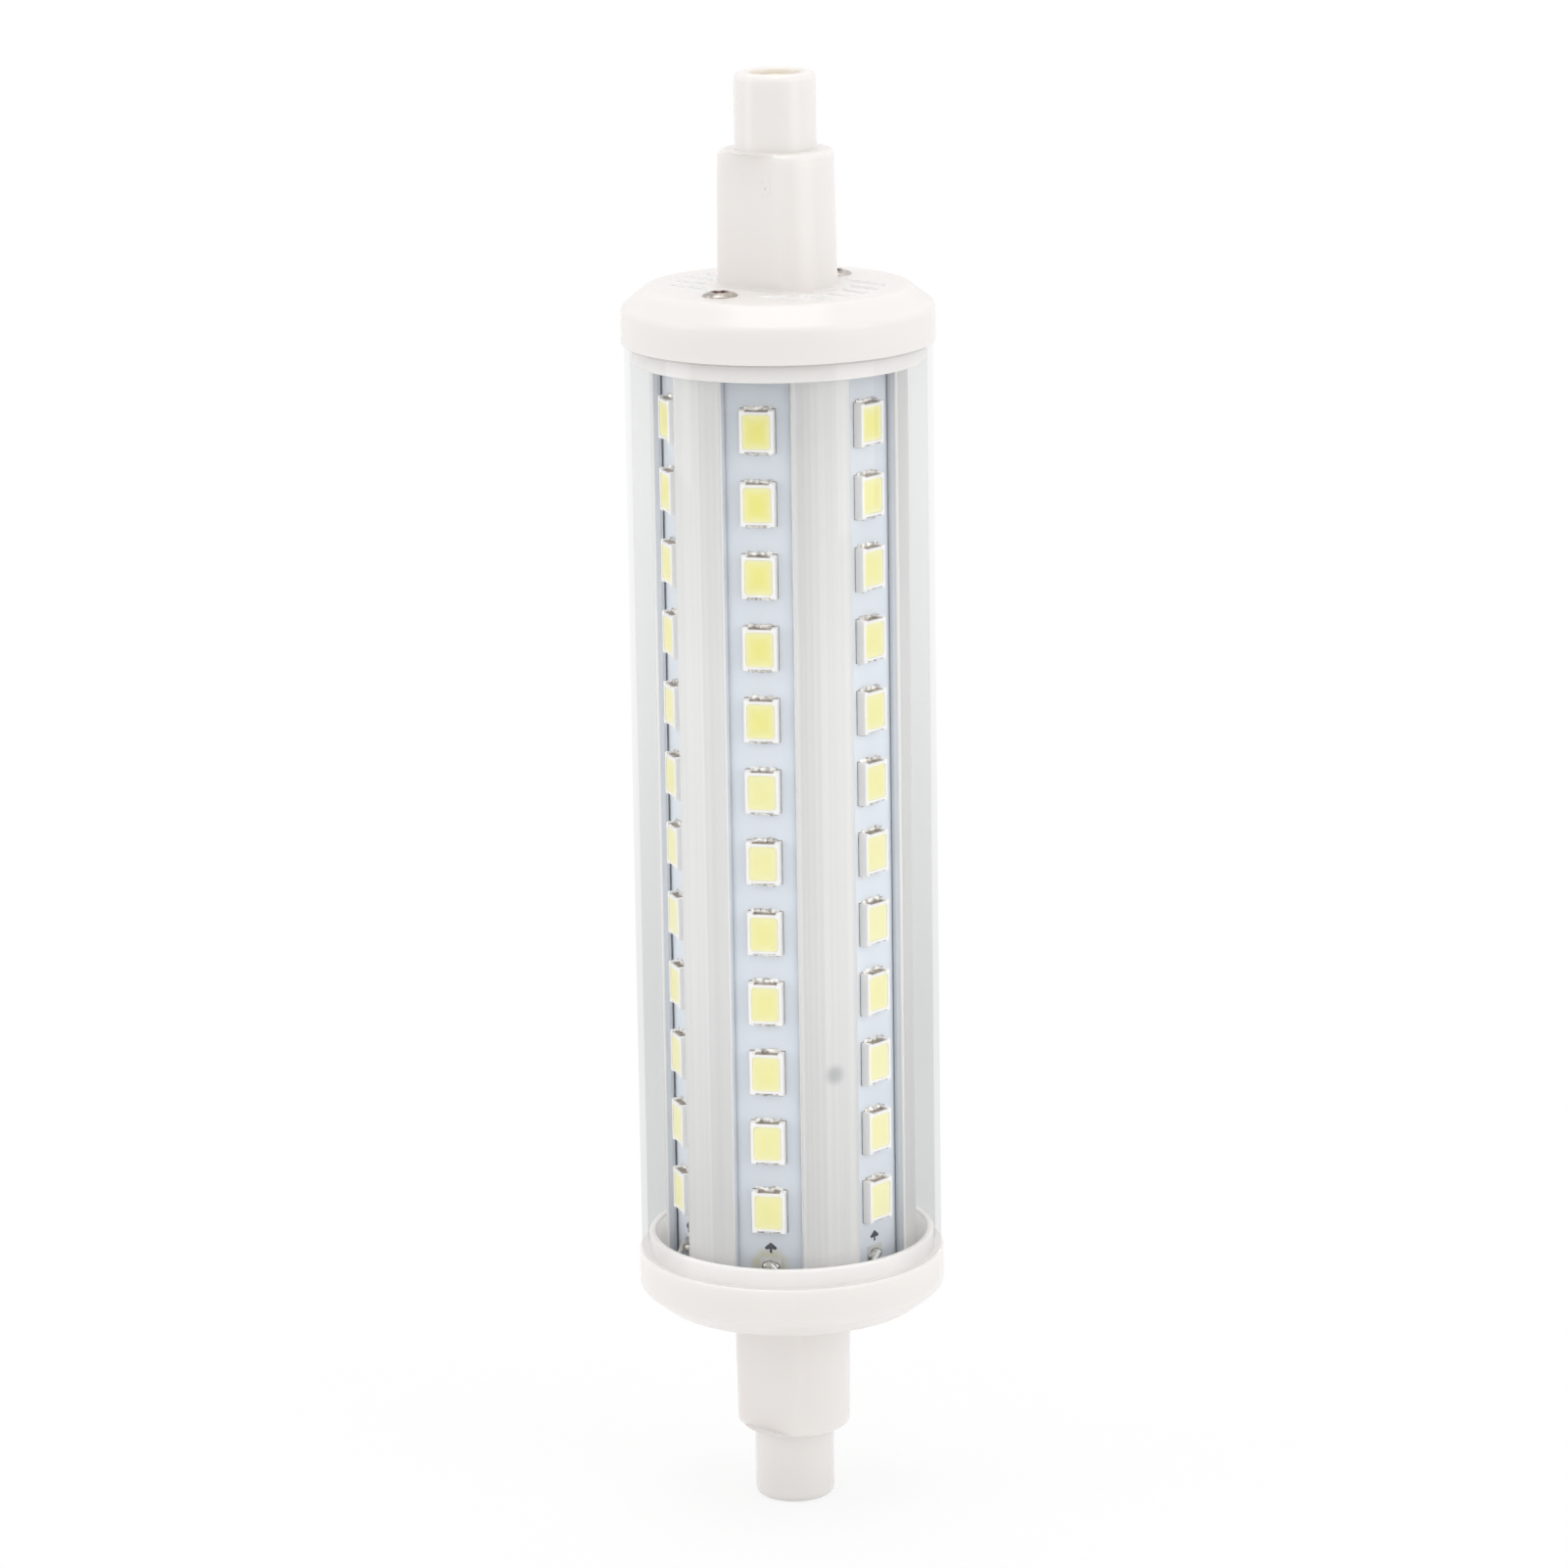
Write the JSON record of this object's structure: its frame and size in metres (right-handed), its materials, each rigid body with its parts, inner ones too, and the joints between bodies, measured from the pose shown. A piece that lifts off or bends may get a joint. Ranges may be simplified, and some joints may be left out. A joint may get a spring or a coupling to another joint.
{
  "type": "linear led bulb",
  "caption": "Double-ended linear LED lamp: clear tube over rows of yellow LEDs on a grooved aluminium core, vented white end caps with flatted barrels, noses and recessed contacts.",
  "frame": {"origin": "middle of the lamp's length, on its axis", "axes": "+Z along the lamp towards one contact; the flats of both end barrels face -Y"},
  "size_m": [0.025, 0.025, 0.118],
  "materials": {
    "cap_plastic": "warm white moulded plastic, satin",
    "clear_plastic": "clear polished plastic",
    "drawn_aluminium": "drawn aluminium with fine lengthwise lines",
    "contact_brass": "turned brass",
    "screw_steel": "nickel-plated steel",
    "link_wire_tin": "bare tinned wire",
    "feed_insulation": "white wire insulation",
    "contact_wire_insulation": "white wire insulation",
    "sleeve_film": "milky insulating film",
    "driver_laminate": "green lacquered laminate",
    "component_black": "black moulding compound",
    "fuse_coating": "blue-grey resistor coating",
    "capacitor_sleeve": "dark shrink sleeve",
    "ferrite": "sintered ferrite",
    "winding_copper": "enamelled copper wire",
    "board_lacquer": "pale blue-grey lacquer on a metal board",
    "led_housing": "white reflector plastic",
    "led_phosphor": "yellow phosphor in clear resin",
    "led_lead": "tin-plated lead with solder",
    "solder": "bright solder"
  },
  "bodies": {
    "root": {"bridge_rectifier": "component_black", "chip_resistors": "component_black", "choke_core": "ferrite", "choke_winding": "winding_copper", "clear_tube": "clear_plastic", "driver_board": "driver_laminate", "driver_chip": "component_black", "driver_sleeve": "sleeve_film", "feed_wires": "feed_insulation", "fuse_resistor": "fuse_coating", "heat_sink": "drawn_aluminium", "led_bodies_1": "led_housing", "led_bodies_2": "led_housing", "led_bodies_3": "led_housing", "led_bodies_4": "led_housing", "led_bodies_5": "led_housing", "led_bodies_6": "led_housing", "led_leads_1": "led_lead", "led_leads_2": "led_lead", "led_leads_3": "led_lead", "led_leads_4": "led_lead", "led_leads_5": "led_lead", "led_leads_6": "led_lead", "led_phosphors_1": "led_phosphor", "led_phosphors_2": "led_phosphor", "led_phosphors_3": "led_phosphor", "led_phosphors_4": "led_phosphor", "led_phosphors_5": "led_phosphor", "led_phosphors_6": "led_phosphor", "light_board_1": "board_lacquer", "light_board_2": "board_lacquer", "light_board_3": "board_lacquer", "light_board_4": "board_lacquer", "light_board_5": "board_lacquer", "light_board_6": "board_lacquer", "lower_cap": "cap_plastic", "lower_cap_screws": "screw_steel", "lower_contact": "contact_brass", "lower_contact_wire": "contact_wire_insulation", "lower_link_wires": "link_wire_tin", "smoothing_capacitor": "capacitor_sleeve", "solder_joints_1": "solder", "solder_joints_2": "solder", "solder_joints_3": "solder", "solder_joints_4": "solder", "solder_joints_5": "solder", "solder_joints_6": "solder", "upper_cap": "cap_plastic", "upper_cap_screws": "screw_steel", "upper_contact": "contact_brass", "upper_contact_wire": "contact_wire_insulation", "upper_link_wires": "link_wire_tin"}
  },
  "joints": []
}
